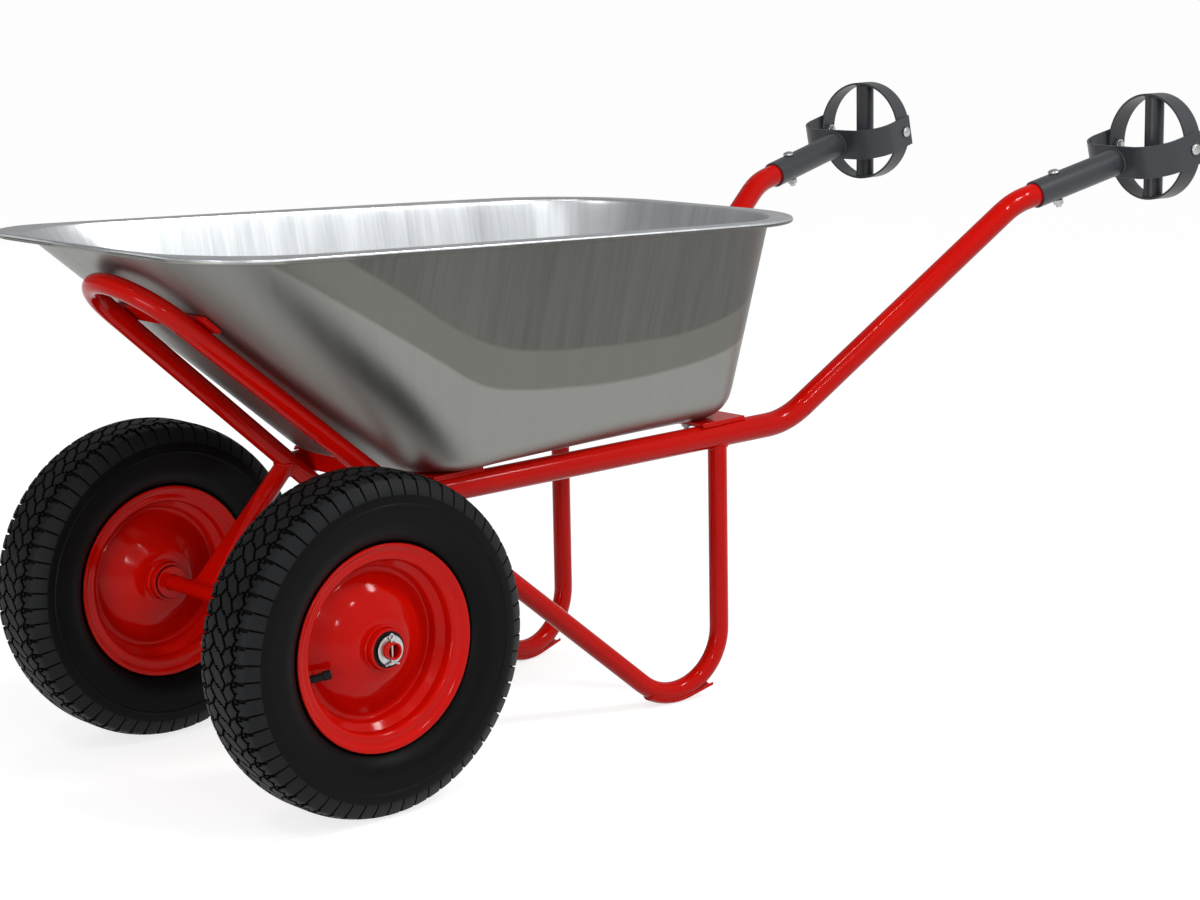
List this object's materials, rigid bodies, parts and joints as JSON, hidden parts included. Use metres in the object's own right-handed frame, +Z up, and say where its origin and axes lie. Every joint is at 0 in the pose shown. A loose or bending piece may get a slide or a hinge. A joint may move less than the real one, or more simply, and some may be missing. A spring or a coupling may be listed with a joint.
{
  "type": "two wheel wheelbarrow",
  "caption": "Pressed steel tub on a bent tube frame with loop legs, pneumatic wheels side by side on one axle, and rail handles ending in swivelling hoop grips.",
  "frame": {"origin": "on the ground, under the middle of the bounding box", "axes": "+X forward to the nose, +Y to the left, +Z up"},
  "size_m": [1.6057, 0.7268, 0.752],
  "materials": {
    "galvanised_sheet": "satin galvanised sheet with drawing streaks",
    "red_paint": "glossy powder coat",
    "graphite_paint": "satin graphite powder coat",
    "tyre_rubber": "matt black rubber",
    "black_rubber": "matt black rubber",
    "zinc_plate": "zinc plated",
    "bearing_steel": "ground steel"
  },
  "bodies": {
    "frame": {"tub": "galvanised_sheet", "leg_loop": "red_paint", "left_rail": "red_paint", "right_rail": "red_paint", "left_strut": "red_paint", "right_strut": "red_paint", "left_skid": "red_paint", "right_skid": "red_paint", "nose_strip": "red_paint", "front_crossbar": "red_paint", "rear_crossbar": "red_paint", "axle": "red_paint", "axle_collars": "red_paint", "axle_washers": "zinc_plate", "split_pins": "zinc_plate", "left_inner_races": "bearing_steel", "right_inner_races": "bearing_steel", "left_sleeve": "graphite_paint", "right_sleeve": "graphite_paint", "left_yoke": "graphite_paint", "right_yoke": "graphite_paint", "sleeve_bolts": "zinc_plate", "sleeve_nuts": "zinc_plate", "tub_bolts": "zinc_plate", "tub_washers": "zinc_plate", "tub_nuts": "zinc_plate"},
    "left_wheel": {"left_tyre": "tyre_rubber", "left_inner_tube": "black_rubber", "left_outer_rim_half": "red_paint", "left_inner_rim_half": "red_paint", "left_hub": "red_paint", "left_outer_races": "bearing_steel", "left_bearing_balls": "bearing_steel", "left_bearing_seals": "black_rubber", "left_valve": "black_rubber"},
    "right_wheel": {"right_tyre": "tyre_rubber", "right_inner_tube": "black_rubber", "right_outer_rim_half": "red_paint", "right_inner_rim_half": "red_paint", "right_hub": "red_paint", "right_outer_races": "bearing_steel", "right_bearing_balls": "bearing_steel", "right_bearing_seals": "black_rubber", "right_valve": "black_rubber"},
    "left_grip": {"left_hoop": "graphite_paint", "left_grip_tube": "graphite_paint", "left_pivot_bolts": "zinc_plate", "left_pivot_nuts": "zinc_plate"},
    "right_grip": {"right_hoop": "graphite_paint", "right_grip_tube": "graphite_paint", "right_pivot_bolts": "zinc_plate", "right_pivot_nuts": "zinc_plate"}
  },
  "joints": [
    {"name": "left_wheel_spin", "type": "hinge", "parent": "frame", "child": "left_wheel", "pos_m": [0.58971, 0.228, 0.2], "axis": [0, 1, 0], "continuous": true},
    {"name": "right_wheel_spin", "type": "hinge", "parent": "frame", "child": "right_wheel", "pos_m": [0.58971, -0.228, 0.2], "axis": [0, 1, 0], "continuous": true},
    {"name": "left_grip_swivel", "type": "hinge", "parent": "frame", "child": "left_grip", "pos_m": [-0.77729, 0.28, 0.677], "axis": [0.1145, 0.9934, 0], "range_deg": [-45, 45]},
    {"name": "right_grip_swivel", "type": "hinge", "parent": "frame", "child": "right_grip", "pos_m": [-0.77729, -0.28, 0.677], "axis": [-0.1145, 0.9934, 0], "range_deg": [-45, 45]}
  ]
}
